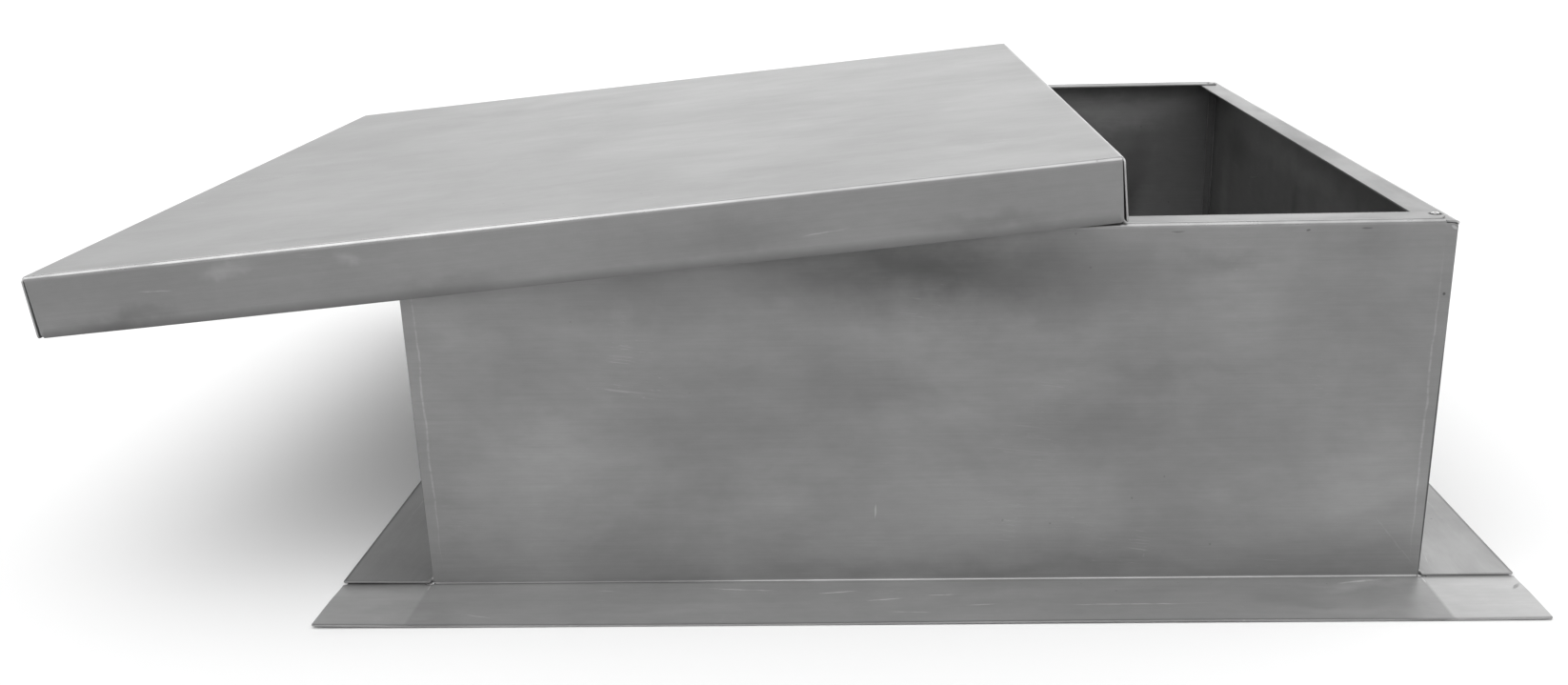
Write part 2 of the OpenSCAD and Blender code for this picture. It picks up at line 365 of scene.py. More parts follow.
def side_outline():
    """A left or right wall's flat pattern: one half, and its mirror image."""
    tab_end = SIDE_FLAT + FOLD_LEN + TAB - FOLD_OUT
    rim_end = HALF_D - FOLD_OUT - 0.0005
    flap_end = HALF_D - 0.0002
    tab_top, tab_low = V_TOP + SHEET + TAB_PLAY, V_BOTTOM - FOLD_OUT - TAB_PLAY + SHEET
    # A small flap at the fold's end closes the corner
    half = [(rim_end - 0.0008, 0), (rim_end, 0.0008), (rim_end, V_RIM - 0.0085),
            (flap_end - 0.0012, V_RIM - 0.0045), (flap_end, V_RIM - 0.0005),
            (flap_end - 0.0002, V_RIM + 0.0024), (rim_end, V_TOP + 0.0006),
            (SIDE_FLAT + 0.0012, V_TOP + 0.0008),
            (SIDE_FLAT, V_TOP + 0.0016), (SIDE_FLAT, tab_top), (tab_end - 0.0035, tab_top),
            (tab_end, tab_top + 0.0035), (tab_end, tab_low - 0.0035), (tab_end - 0.0035, tab_low),
            (SIDE_FLAT, tab_low), (SIDE_FLAT, V_FLANGE - 0.0004), (HALF_D, V_FLANGE),
            (HALF_D, V_EDGE - 0.0008), (HALF_D - 0.0008, V_EDGE)]
    return half + [(-u, v) for u, v in reversed(half)]


def side_place(sign, seed):
    """Places a left (-1) or right (1) wall, which stands on the laps. Its upright is a little
    shorter than the flat pattern's, so that its rim ends up under the end rims."""
    def place(u, v):
        u, v = np.asarray(u, float), np.asarray(v, float)
        depth, height = wall_section(v)
        upright = (v > V_TOP + 0.001) & (v < V_BOTTOM)
        depth = depth - np.where(upright, buckle(u, v, seed), 0)
        height = height - (END_H - SIDE_H) * np.clip((V_BOTTOM - v) / (V_BOTTOM - V_TOP), 0, 1)
        past = np.clip(np.abs(u) - SIDE_FLAT, 0, None)
        turn = np.clip(past / FOLD_MID, 0, math.pi / 2)
        tab = upright & (past > 0)
        along = np.where(tab, SIDE_FLAT + FOLD_MID * np.sin(turn), np.abs(u)) * np.sign(u)
        depth = np.where(
            tab, FOLD_OUT - FOLD_MID * np.cos(turn) + np.clip(past - FOLD_LEN, 0, None), depth)
        out = smooth(v, V_FLANGE + 0.01, V_EDGE)
        height = height + 0.0004 * out * (1 + np.sin(8 * u + seed))
        lift = smooth(np.abs(u), HALF_D - 0.10, HALF_D - 0.004)
        lift = lift * smooth(v, V_FLANGE, V_FLANGE + 0.006)
        height = height + LIFT * lift
        return np.stack([sign * (HALF_W - depth), -sign * along, height + SHEET], axis=1)
    return place


def rivet_holes(u, v):
    """A hole near each end of a wall's rim."""
    return [arc(side * u, v, HOLE_R, 0, 345, 23) for side in (-1, 1)]


def wall_fold_highlight(u, v):
    """Painted highlight on the top fold, less on the bottom one, and least at one end of it."""
    top = smooth(v, V_RIM - 0.0006, V_RIM + 0.0006) * (
        1 - smooth(v, V_TOP - 0.0006, V_TOP + 0.0006))
    low = smooth(v, V_BOTTOM - 0.0006, V_BOTTOM + 0.0004) * (
        1 - smooth(v, V_FLANGE - 0.0004, V_FLANGE + 0.0006))
    low = low * (0.15 + 0.30 * smooth(-u, -0.25, -0.12))
    return np.maximum(0.8 * top, low * (np.abs(u) < HALF_W))


def wall_shade(v, flange):
    """Painted light: the flange and the foot of a wall are painted brighter than the upright,
    and the rim a little brighter; painted shade darkens the flange's outer edge."""
    foot = 0.22 * smooth(v, V_BOTTOM - 0.14, V_BOTTOM) * (v < V_FLANGE)
    rim = 0.03 * (1 - smooth(v, V_RIM - 0.001, V_TOP))
    edge = 0.8 * smooth(v, V_EDGE - 0.0012, V_EDGE)
    return 1 + foot + rim - edge + (flange - 1) * smooth(v, V_FLANGE - 0.001, V_FLANGE + 0.003)


def end_shade(flange):
    """Painted reflection: the wings are painted a little brighter than the flange between
    them, which is painted darkest in a triangle beside them. Painted shade darkens the bottom
    fold at one end."""
    def shade(u, v):
        wing = smooth(np.abs(u), HALF_W - 0.001, HALF_W + 0.002) * (v > V_FLANGE)
        start = HALF_W - 0.04 * (v - V_FLANGE) / FLANGE
        beside = smooth(np.abs(u), start - 0.012, start + 0.012) * (1 - wing) * (v > V_FLANGE)
        painted_shade = smooth(v, V_BOTTOM, V_BOTTOM + 0.001) * (
            1 - smooth(v, V_FLANGE - 0.001, V_FLANGE + 0.001))
        painted_shade = painted_shade * smooth(u, 0.05, 0.25)
        contrast = np.where(u > 0, 0.5, 1) * (0.12 * wing - 0.28 * beside)
        return wall_shade(v, flange) * (1 + contrast - 0.45 * painted_shade)
    return shade


def side_shade(flange):
    """Painted shade darkens the folds and the tabs that turn in behind the end walls, where
    the seam lies in shade, and the rim is painted duller than the end walls' rims."""
    def shade(u, v):
        past = np.abs(u) - SIDE_FLAT
        painted_shade = 0.85 * smooth(past, -0.001, 0.0005) - 0.55 * smooth(past, FOLD_LEN, FOLD_LEN + 0.001)
        painted_shade = painted_shade * (0.4 + 0.6 * smooth(v, V_TOP + 0.05, V_BOTTOM - 0.08))
        painted_shade = np.where((v > V_TOP + 0.001) & (v < V_BOTTOM), painted_shade, 0)
        return (wall_shade(v, flange) - 0.10 * (v < V_RIM + 0.001)) * (1 - painted_shade)
    return shade


wall_rows = sorted([*spread(0.004, V_RIM - 0.004), *fold_rows(V_RIM),
                    *spread(V_TOP + 0.012, V_BOTTOM - 0.012), *fold_rows(V_BOTTOM),
                    *spread(V_FLANGE + 0.010, V_EDGE - 0.003)])
tab_lines = [side * (TAB_LINE + step) for side in (-1, 1)
             for step in (-0.003, -0.0015, 0, 0.0015, 0.003)]
wing_lines = [side * (HALF_W + step) for side in (-1, 1) for step in (-0.004, -0.001, 0.002, 0.006)]
end_columns = spread(-HALF_W - FLANGE + 0.004, HALF_W + FLANGE - 0.004, tab_lines + wing_lines)
tab_fold = [side * (SIDE_FLAT + step) for side in (-1, 1)
            for step in (-WIDE, -CLOSE, *np.linspace(0, FOLD_LEN, FOLD_STEPS + 1), FOLD_LEN + 0.002)]
side_columns = spread(-HALF_D + 0.012, HALF_D - 0.012, tab_fold)

walls = {}
# Seen from outside, u runs to the left. flange is the painted light on each wall's flange.
for name, sign, seed, flange in [("front_wall", -1, 3, 1.75), ("back_wall", 1, 8, 1.6)]:
    walls[name] = sheet_object(
        name + "_sheet", end_outline(), rivet_holes(RIVET.x, RIVET_V),
        end_columns, wall_rows, end_place(sign, seed), wall_fold_highlight, end_shade(flange))
for name, sign, seed, flange in [("left_wall", -1, 12, 1.1), ("right_wall", 1, 21, 1.45)]:
    walls[name] = sheet_object(
        name + "_sheet", side_outline(), rivet_holes(-RIVET.y, RIM - (HALF_W - RIVET.x)),
        side_columns, wall_rows, side_place(sign, seed), wall_fold_highlight, side_shade(flange))
for name, obj in walls.items():
    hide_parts(name)
    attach(obj, "curb")

# ---------- lid ----------
# Flat pattern of the pan: p, q from its centre, with the four skirts folded out flat.
PAN_FLAT = LID_SIDE / 2 - FOLD_OUT        # half of the flat top
SKIRT = LID_H - FOLD_OUT                  # straight part of a skirt
PAN_EDGE = PAN_FLAT + FOLD_LEN + SKIRT


def pan_outline():
    """The front right corner, mirrored to the other three."""
    turns = np.linspace(0, math.pi / 2, FOLD_STEPS + 1)
    front_low = LID_SIDE / 2 - SHEET - LID_CORNER_GAP_LOW
    front_top = LID_SIDE / 2 - SHEET - LID_CORNER_GAP
    # Front skirt's right end, from its lower edge up to the corner of the flat top
    front = [(front_low - 0.0022, -PAN_EDGE), (front_low, -PAN_EDGE + 0.0026)]
    front += [(PAN_FLAT + (front_top - PAN_FLAT) * math.sin(a), -PAN_FLAT - FOLD_MID * a)
              for a in turns[::-1]]
    # Right skirt's front end, from the corner down; it covers the front skirt's end
    side = [(PAN_FLAT + FOLD_MID * a, -PAN_FLAT - FOLD_IN * math.sin(a)) for a in turns[1:-1]]
    side += [(PAN_FLAT + FOLD_LEN + 0.0008, -LID_SIDE / 2), (PAN_EDGE - 0.0015, -LID_SIDE / 2),
             (PAN_EDGE, -LID_SIDE / 2 + 0.0015)]
    corner = front + side
    right = corner + [(p, -q) for p, q in reversed(corner)]
    return right + [(-p, -q) for p, q in right]


def pan_place(p, q):
    """The folded pan where it lies on the curb."""
    p, q = np.asarray(p, float), np.asarray(q, float)

    def fold(x):
        past = np.clip(np.abs(x) - PAN_FLAT, 0, None)
        a = np.clip(past / FOLD_MID, 0, math.pi / 2)
        out = np.minimum(np.abs(x), PAN_FLAT) + FOLD_MID * np.sin(a)
        drop = FOLD_MID * (1 - np.cos(a)) + np.clip(past - FOLD_LEN, 0, None)
        return out * np.sign(x), drop, past

    x, drop_x, past_x = fold(p)
    y, drop_y, past_y = fold(q)
    on_side = past_x > past_y
    x = np.where(on_side, x, p)
    y = np.where(on_side, q, y)
    z = LID_H - SHEET / 2 - np.where(on_side, drop_x, drop_y)
    # The flat top is crowned a little, with shallow waves; it never sinks below its plane
    inner = (1 - smooth(np.abs(p), PAN_FLAT - 0.16, PAN_FLAT - 0.012)) * (
        1 - smooth(np.abs(q), PAN_FLAT - 0.16, PAN_FLAT - 0.012))
    waves = 1 + 0.25 * np.sin(6 * p + 1) * np.cos(5 * q) + 0.15 * np.sin(8 * q - 4 * p)
    z = z + 0.0009 * inner * waves
    # Skirts bow outwards by a fraction of a millimetre
    bow = 0.0004 * (1 + np.sin(9 * p + 4 * q))
    down = smooth(np.where(on_side, drop_x, drop_y), 0.004, 0.04)
    middle = 1 - smooth(np.where(on_side, np.abs(q), np.abs(p)), PAN_FLAT - 0.10, PAN_FLAT - 0.01)
    x = x + np.where(on_side, np.sign(x) * bow * down * middle, 0)
    y = y + np.where(on_side, 0, np.sign(y) * bow * down * middle)
    return moved(np.stack([x, y, z], axis=1), lid_matrix)


def pan_fold_highlight(p, q):
    """Painted highlight on the front fold, less towards its right, and faint on the others."""
    past = np.maximum(np.abs(p), np.abs(q)) - PAN_FLAT
    fold_glint = np.where(-q > np.abs(p), 1.3 - 0.8 * smooth(p, -0.2, 0.3), 0.35)
    return fold_glint * smooth(past, -0.0006, 0.0006) * (
        1 - smooth(past, FOLD_LEN - 0.0008, FOLD_LEN + 0.0006))


def pan_shade(p, q):
    """Painted shade: the skirts are darker than the top, and their lower edges darker still."""
    reach = np.maximum(np.abs(p), np.abs(q))
    skirt = smooth(reach, PAN_FLAT + FOLD_LEN / 2, PAN_FLAT + FOLD_LEN)
    return 1 - 0.23 * skirt - 0.35 * smooth(reach, PAN_EDGE - 0.0015, PAN_EDGE)


# It rests on the left rivets' heads and, by its right skirt, on the back rim
head_dome_r = (HEAD_R ** 2 + HEAD_H ** 2) / (2 * HEAD_H)
rest_z = END_H + REST_GAP
rest_run = LID_REACH + RIVET.x
rest_rise = rest_z - (END_H + HEAD_H - head_dome_r)
lid_tilt = math.atan2(rest_rise, rest_run) + math.asin(
    (LID_H - SHEET - head_dome_r - REST_GAP) / math.hypot(rest_run, rest_rise))
rest_y = (2 * HALF_D + LID_FRONT_GAP) / math.cos(LID_TURN) - LID_SIDE / 2 + SHEET
lid_matrix = (Matrix.Translation((LID_REACH, HALF_D, rest_z))
              @ Matrix.Rotation(-lid_tilt, 4, "Y") @ Matrix.Rotation(LID_TURN, 4, "Z")
              @ Matrix.Translation((SHEET - LID_SIDE / 2, -rest_y, 0)))

pan_fold_lines = [side * (PAN_FLAT + step) for side in (-1, 1)
                  for step in (-WIDE, -CLOSE, *np.linspace(0, FOLD_LEN, FOLD_STEPS + 1),
                               FOLD_LEN + CLOSE, FOLD_LEN + WIDE)]
pan_lines = spread(-PAN_EDGE + 0.008, PAN_EDGE - 0.008, pan_fold_lines)
lid = sheet_object("lid_pan", pan_outline(), [], pan_lines, pan_lines, pan_place, pan_fold_highlight,
                   pan_shade)
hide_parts("lid")
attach(lid, "lid")

# ---------- rivets ----------
RIVET_R = 0.0016
GRIP = 2 * SHEET                  # the two rims that a rivet holds
BULB_R = 0.0024                   # blind end of a set rivet
BULB_H = 0.003
MANDREL_R = 0.0007
MANDREL_HEAD_R = 0.0011
TURNS = 40                        # steps round a turned part


def turned_part(name, profile, at):
    """A closed solid of revolution. profile is a loop of (radius, height), from the top
    round the outside to the bottom and back up the middle."""
    angles = [2 * math.pi * i / TURNS for i in range(TURNS)]
    verts, rings = [], []
    for r, z in profile:
        if r < 1e-7:
            rings.append([len(verts)])
            verts.append((at[0], at[1], at[2] + z))
        else:
            rings.append(list(range(len(verts), len(verts) + TURNS)))
            verts += [(at[0] + r * math.cos(a), at[1] + r * math.sin(a), at[2] + z) for a in angles]
    pairs = list(zip(rings, rings[1:]))
    if len(rings[0]) > 1:
        pairs.append((rings[-1], rings[0]))
    faces = []
    for upper, lower in pairs:
        for i in range(TURNS):
            j = (i + 1) % TURNS
            if len(upper) == 1 and len(lower) > 1:
                faces.append((upper[0], lower[i], lower[j]))
            elif len(lower) == 1 and len(upper) > 1:
                faces.append((upper[i], lower[0], upper[j]))
            elif len(upper) > 1:
                faces.append((upper[i], lower[i], lower[j], upper[j]))
    mesh = bpy.data.meshes.new(name)
    mesh.from_pydata(verts, [], faces)
    mesh.polygons.foreach_set("use_smooth", [True] * len(mesh.polygons))
    mesh.set_sharp_from_angle(angle=math.radians(40))
    mesh.update()
    return linked(name, mesh)


bore = MANDREL_R + 0.00005
rivet_profile = [(bore, HEAD_H * 0.62), (bore + 0.00025, HEAD_H * 0.9), (0.0013, HEAD_H),
                 (0.0019, HEAD_H * 0.88), (0.0025, HEAD_H * 0.62), (0.0029, HEAD_H * 0.36),
                 (HEAD_R - 0.00006, HEAD_H * 0.16), (HEAD_R, 0.00008), (HEAD_R - 0.00005, 0.00002),
                 (RIVET_R, 0.00002), (RIVET_R, -GRIP - 0.0001), (BULB_R - 0.0003, -GRIP - 0.0003),
                 (BULB_R, -GRIP - 0.0009), (BULB_R, -GRIP - BULB_H + 0.0009),
                 (BULB_R - 0.0004, -GRIP - BULB_H + 0.0002), (bore + 0.0002, -GRIP - BULB_H),
                 (bore, -GRIP - BULB_H + 0.0002)]
neck = -GRIP - BULB_H
mandrel_profile = [(0, 0.00022), (0.00022, 0.0003), (0.00045, 0.00012),
                   (MANDREL_R - 0.0001, 0.0002), (MANDREL_R, 0.00005), (MANDREL_R, neck - 0.0002),
                   (MANDREL_HEAD_R * 0.92, neck - 0.0006), (MANDREL_HEAD_R, neck - MANDREL_HEAD_R),
                   (MANDREL_HEAD_R * 0.75, neck - MANDREL_HEAD_R * 1.65),
                   (0, neck - MANDREL_HEAD_R * 2)]
fasteners = []
for end, y in (("front", -abs(RIVET.y)), ("back", abs(RIVET.y))):
    for side, x in (("left", -RIVET.x), ("right", RIVET.x)):
        for kind, profile in (("rivet", rivet_profile), ("mandrel", mandrel_profile)):
            node = f"{end}_{side}_{kind}"
            part = turned_part(node + "_part", profile, (x, y, END_H))
            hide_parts(node)
            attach(part, "curb")
            fasteners.append((kind, part))

# ---------- camera ----------
camera_data = bpy.data.cameras.new("camera")
camera_data.sensor_width = 36
camera_data.lens = 33.411
camera_data.shift_x = -0.02934
camera_data.shift_y = 0.0172
camera = linked("camera", camera_data)
camera.location = (-0.0329, -1.5263, 0.5569)
camera.rotation_euler = [math.radians(a) for a in (71.682, 1.302, 1.588)]
bpy.context.scene.camera = camera


# ---------- node helper ----------
class Nodes:
    """Short calls for building a node tree."""

    def __init__(self, tree):
        self.tree = tree
        tree.nodes.clear()

    def add(self, kind, inputs=None, **settings):
        node = self.tree.nodes.new("ShaderNode" + kind)
        for key, value in settings.items():
            setattr(node, key, value)
        for key, value in (inputs or {}).items():
            if isinstance(value, bpy.types.NodeSocket):
                self.tree.links.new(value, node.inputs[key])
            else:
                node.inputs[key].default_value = value
        return node

    def math(self, operation, a, b=0.0, c=0.0, clamp=False):
        node = self.add("Math", {0: a, 1: b, 2: c}, operation=operation, use_clamp=clamp)
        return node.outputs[0]

    def ramp(self, value, low, high, to_low=0.0, to_high=1.0):
        node = self.add("MapRange", {"Value": value, "From Min": low, "From Max": high,
                                     "To Min": to_low, "To Max": to_high},
                        interpolation_type="SMOOTHSTEP")
        return node.outputs[0]

    def grey(self, value):
        return self.add("CombineColor", {0: value, 1: value, 2: value}).outputs[0]

    def surface(self, inputs):
        """The material's shader and output, from the shader's inputs."""
        shader = self.add("BsdfPrincipled", inputs)
        self.add("OutputMaterial", {"Surface": shader.outputs[0]})


def new_material(name):
    """A material, and the calls that fill its node tree."""
    material = bpy.data.materials.new(name)
    material.use_nodes = True
    return material, Nodes(material.node_tree)


# ---------- floor and light ----------
FLOOR_HALF = 40
FLOOR_TONE = 0.88
FLOOR_DROP = 0.0002               # keeps it clear of the flange's underside
OVERHEAD = 1.9                    # radiance of the soft light above
OVERHEAD_AXIS = Vector((-0.1, -0.35, 0.93)).normalized()
OVERHEAD_EDGE, OVERHEAD_CORE = 0.45, 0.97     # cosines from its axis where it starts and is full
BEHIND = 1.75                     # radiance of the low light behind the object
BEHIND_RIGHT = 0.42               # how much of it is added towards the right
AROUND = 0.30                     # radiance from every side
floor_mesh = bpy.data.meshes.new("floor")
floor_mesh.from_pydata([(-FLOOR_HALF, -FLOOR_HALF, 0), (FLOOR_HALF, -FLOOR_HALF, 0),
                        (FLOOR_HALF, FLOOR_HALF, 0), (-FLOOR_HALF, FLOOR_HALF, 0)], [], [(0, 1, 2, 3)])
floor = linked("floor", floor_mesh)
floor.location.z = -FLOOR_DROP
floor_material, n = new_material("pale_floor")
n.surface({"Base Color": (FLOOR_TONE, FLOOR_TONE, FLOOR_TONE, 1), "Roughness": 0.9,
           "Specular IOR Level": 0.1})
floor_mesh.materials.append(floor_material)

world = bpy.data.worlds.new("studio")
bpy.context.scene.world = world
world.use_nodes = True
n = Nodes(world.node_tree)
direction = n.add("TexCoord").outputs["Generated"]
parts = n.add("SeparateXYZ", {0: direction})
towards = n.add("VectorMath", {0: direction, 1: OVERHEAD_AXIS}, operation="DOT_PRODUCT")
overhead = n.ramp(towards.outputs["Value"], OVERHEAD_EDGE, OVERHEAD_CORE, 0, OVERHEAD)
behind = n.math("MULTIPLY", n.ramp(parts.outputs["Y"], -0.1, 0.8, 0, BEHIND),
                n.ramp(parts.outputs["Z"], 0.75, 0.2))
behind = n.math("MULTIPLY", behind, n.math("MULTIPLY_ADD", parts.outputs["X"], BEHIND_RIGHT, 1))
light = n.math("ADD", n.math("ADD", overhead, behind), AROUND)
background = n.add("Background", {"Color": (1, 1, 1, 1), "Strength": light})
n.add("OutputWorld", {"Surface": background.outputs[0]})
bpy.context.scene.view_settings.view_transform = "Standard"

# ---------- materials ----------
METALLIC = 0.7
ROUGHNESS = 0.465
CLOUD_ROUGH, SMEAR_ROUGH = 0.45, 0.43         # roughness that goes with a change of tone
# roughness added where painted shade is deep
SHADE_ROUGH = 0.45
FOLD_HIGHLIGHT, FOLD_HIGHLIGHT_GLOSS = 0.55, 0.22      # painted highlight that a fold gains, and the gloss that goes with it
CUT_EDGE_HIGHLIGHT = 0.45                 # painted highlight that a cut edge gains, partly bright sheared metal
BACK_SHADE = 0.25                  # painted shade that the inner face loses
SCRATCH_BRIGHT, SCRATCH_GLOSS = 0.22, 0.10
GRAIN_BUMP = 0.000012
SCRATCH_BUMP = 0.00004


def up(z):
    """Where a height on the upright lies across a wall's flat pattern."""
    return V_TOP + END_H - FOLD_OUT - z


def out(d):
    """Where a distance out from the wall lies on its flange's flat pattern."""
    return V_FLANGE + d - FOLD_IN


def on_skirt(d):
    """Where a distance below the lid's top fold lies on the front skirt's flat pattern."""
    return -PAN_FLAT - FOLD_LEN - d


def sheet_metal(name, tone, smudges_and_light=(), scratches=(), light_spots=(), outside=1.0, specks=0.25,
                smeared=0.05, clouded=0.08):
    """Mill-finish aluminium sheet: cloudy handling marks, a fine rolling grain along the
    sheet, specks, stray scratches, painted highlights on the folds and the cut edges (the
    latter partly bright sheared metal), painted shade on the inner face, and the painted light
    and shade of the shade attribute. The smudge marks (some of them painted shadow, light or
    reflections), the scratches, and the spot marks of painted light and shade are (u, v, half
    length, half width, angle in degrees, strength) in the flat pattern, and outside is how much
    of the smudge marks shows on the outer face. specks, smeared and clouded are how far those
    change the tone."""
    material, n = new_material(name)
    flat = n.add("UVMap", uv_map="flat").outputs[0]
    place = n.add("TexCoord").outputs["Object"]

    def noise(vector, scale, detail=3.0, roughness=0.5, distortion=0.0):
        return n.add("TexNoise", {"Vector": vector, "Scale": scale, "Detail": detail,
                                  "Roughness": roughness, "Distortion": distortion}).outputs

    def stretched(vector, along, across):
        return n.add("VectorMath", {0: vector, 1: (along, across, 1)},
                     operation="MULTIPLY").outputs[0]

    def shaken(amount, scale):
        """The flat pattern's coordinates, disturbed so that marks get ragged outlines."""
        shift = n.add("VectorMath", {0: noise(place, scale, 4.0, 0.6)["Color"], 1: (0.5, 0.5, 0.5)},
                      operation="SUBTRACT").outputs[0]
        shift = n.add("VectorMath", {0: shift, "Scale": amount}, operation="SCALE").outputs[0]
        return n.add("VectorMath", {0: flat, 1: shift}, operation="ADD").outputs[0]

    def marked(vector, marks, hard):
        """The sum of soft-edged elliptical marks, each at its own strength."""
        total = None
        for u, v, length, width, angle, strength in marks:
            local = n.add("Mapping", {"Vector": vector, "Location": (u, v, 0),
                                      "Rotation": (0, 0, math.radians(angle)),
                                      "Scale": (length, width, 1)}, vector_type="TEXTURE").outputs[0]
            far = n.add("VectorMath", {0: local}, operation="LENGTH").outputs["Value"]
            mark = n.ramp(far, 1, hard, 0, strength)
            total = mark if total is None else n.math("ADD", total, mark)
        return total

    cloud = noise(place, 8.0, 4.0, 0.55, 0.4)[0]
    smear = noise(stretched(flat, 7, 26), 1, 6.0, 0.6, 0.3)[0]
    mottle = noise(stretched(flat, 60, 150), 1, 3.0, 0.6)[0]
    grain = noise(stretched(flat, 14, 1500), 1, 2.0, 0.6)[0]
    streak = noise(stretched(flat, 3, 420), 1, 2.0, 0.5)[0]

    # Fine scratches, at a slant, where a slower noise lets them through
    turned = n.add("Mapping", {"Vector": shaken(0.004, 9), "Rotation": (0, 0, math.radians(7))})
    line = noise(stretched(turned.outputs[0], 9, 380), 1, 1.0)[0]
    line = n.ramp(n.math("ABSOLUTE", n.math("SUBTRACT", line, 0.5)), 0.0045, 0.001)
    let_through = n.ramp(noise(place, 13, 2.0)[0], 0.60, 0.68)
    fine_scratch = n.math("MULTIPLY", line, let_through)

    speck = n.add("TexVoronoi", {"Vector": shaken(0.004, 60), "Scale": 75.0, "Randomness": 1.0})
    chance = n.add("SeparateColor", {0: speck.outputs["Color"]}).outputs[0]
    few = n.math("GREATER_THAN", chance, 0.90)
    dot = n.math("MULTIPLY", n.ramp(speck.outputs["Distance"], 0.10, 0.04), few)
    dot = n.math("MULTIPLY", dot, n.ramp(noise(place, 6, 1.0)[0], 0.47, 0.62))

    def swing(value, amount):
        """1 for a mid-grey value, and up to amount more or less."""
        return n.ramp(value, 0.25, 0.75, 1 - amount, 1 + amount)

    behind = n.add("Attribute", attribute_name="back_side").outputs["Fac"]
    shade = n.add("Attribute", attribute_name="shade").outputs["Fac"]
    factor = swing(cloud, clouded)
    for value, amount in ((smear, smeared), (mottle, 0.025), (grain, 0.035), (streak, 0.015)):
        factor = n.math("MULTIPLY", factor, swing(value, amount))
    factor = n.math("MULTIPLY", factor, n.math("SUBTRACT", 1, n.math("MULTIPLY", dot, specks)))
    factor = n.math("MULTIPLY", factor, n.math("MULTIPLY_ADD", fine_scratch, SCRATCH_BRIGHT, 1))
    if smudges_and_light:
        soft = marked(shaken(0.05, 16), smudges_and_light, 0.0)
        soft = n.math("MULTIPLY", soft, n.ramp(smear, 0.2, 0.6, 0.6, 1.1))
        soft = n.math("MULTIPLY", soft, n.math("MULTIPLY_ADD", behind, 1 - outside, outside))
        factor = n.math("MULTIPLY", factor, n.math("ADD", soft, 1))
    # Where the painted shade or a painted spot is dark, the metal is made dull and less metallic, so
    # it stays dark
    shade_dulled = n.ramp(shade, 0.75, 0.35)
    if light_spots:
        light_spot = marked(flat, light_spots, 0.62)
        factor = n.math("MULTIPLY", factor, n.math("ADD", light_spot, 1))
        shade_dulled = n.math("MAXIMUM", shade_dulled, n.math("MULTIPLY", light_spot, -1))
    scratch = fine_scratch
    if scratches:
        sharp = marked(shaken(0.006, 22), scratches, 0.45)
        sharp = n.math("MULTIPLY", sharp, n.ramp(mottle, 0.35, 0.55, 0.35, 1))
        factor = n.math("MULTIPLY", factor, n.math("ADD", sharp, 1))
        scratch = n.math("ADD", scratch, n.math("MAXIMUM", sharp, 0))

    fold = n.add("Attribute", attribute_name="fold").outputs["Fac"]
    cut = n.add("Attribute", attribute_name="cut_edge").outputs["Fac"]
    patchy = n.ramp(noise(stretched(flat, 25, 25), 1, 4.0, 0.6)[0], 0.3, 0.6, 0.55, 1)
    fold_glint = n.math("MULTIPLY", fold, patchy)
    # Painted highlights on the folds and cut edges, and painted shade on the inner face
    for value, gain in ((fold_glint, FOLD_HIGHLIGHT), (cut, CUT_EDGE_HIGHLIGHT), (behind, -BACK_SHADE)):
        factor = n.math("MULTIPLY", factor, n.math("MULTIPLY_ADD", value, gain, 1))
    # Painted light and shade from the shade attribute
    factor = n.math("MULTIPLY", factor, shade)
    colour = n.grey(n.math("MULTIPLY", factor, tone, clamp=True))

    sheen, glaze = SMEAR_ROUGH * smeared, CLOUD_ROUGH * clouded
    rough = n.math("ADD", n.ramp(cloud, 0.3, 0.7, ROUGHNESS + glaze, ROUGHNESS - glaze),
                   n.ramp(smear, 0.3, 0.7, sheen, -sheen))
    rough = n.math("ADD", rough, n.ramp(grain, 0.3, 0.7, -0.02, 0.02))
    rough = n.math("SUBTRACT", rough, n.math("MULTIPLY", fold_glint, FOLD_HIGHLIGHT_GLOSS))
    rough = n.math("SUBTRACT", rough, n.math("MULTIPLY", scratch, SCRATCH_GLOSS))
    rough = n.math("ADD", rough, n.math("MULTIPLY", shade_dulled, SHADE_ROUGH), clamp=True)
    metallic = n.math("MULTIPLY_ADD", shade_dulled, -METALLIC, METALLIC)

    height = n.math("MULTIPLY", grain, GRAIN_BUMP)
    height = n.math("SUBTRACT", height, n.math("MULTIPLY", scratch, SCRATCH_BUMP))
    height = n.math("ADD", height, n.math("MULTIPLY", mottle, GRAIN_BUMP))
    bump = n.add("Bump", {"Height": height, "Strength": 0.6, "Distance": 1.0}).outputs[0]
    n.surface({"Base Color": colour, "Metallic": metallic, "Roughness": rough, "Normal": bump})
    return material


def fastener_metal(name, tone, roughness, shade_start):
    """Metal of a rivet or its mandrel: fine mottling, slow blotches, and painted shade below the
    given start height above the rim, at the foot of the head and down the bore."""
    material, n = new_material(name)
    place = n.add("TexCoord").outputs["Object"]
    height = n.add("SeparateXYZ", {0: place}).outputs["Z"]
    fine = n.add("TexNoise", {"Vector": place, "Scale": 900.0, "Detail": 3.0}).outputs[0]
    blotch = n.add("TexNoise", {"Vector": place, "Scale": 260.0, "Detail": 2.0}).outputs[0]
    # Painted shade below the start height
    unshaded = n.ramp(height, END_H + shade_start, END_H + shade_start + 0.0004, 0.45, 1)
    value = n.math("MULTIPLY", n.ramp(fine, 0.3, 0.7, tone * 0.88, tone * 1.08), unshaded)
    value = n.math("MULTIPLY", value, n.ramp(blotch, 0.3, 0.7, 0.9, 1.05))
    rough = n.ramp(blotch, 0.3, 0.7, roughness - 0.05, roughness + 0.08)
    bump = n.add("Bump", {"Height": n.math("MULTIPLY", fine, 0.00002), "Strength": 0.5,
                          "Distance": 1.0}).outputs[0]
    n.surface({"Base Color": n.grey(value), "Metallic": 0.9, "Roughness": rough, "Normal": bump})
    return material


def mirrored(marks):
    """Marks given with u to the right, as a wall is seen from outside, for its flat pattern."""
    return [(-u, v, length, width, -angle, strength)
            for u, v, length, width, angle, strength in marks]
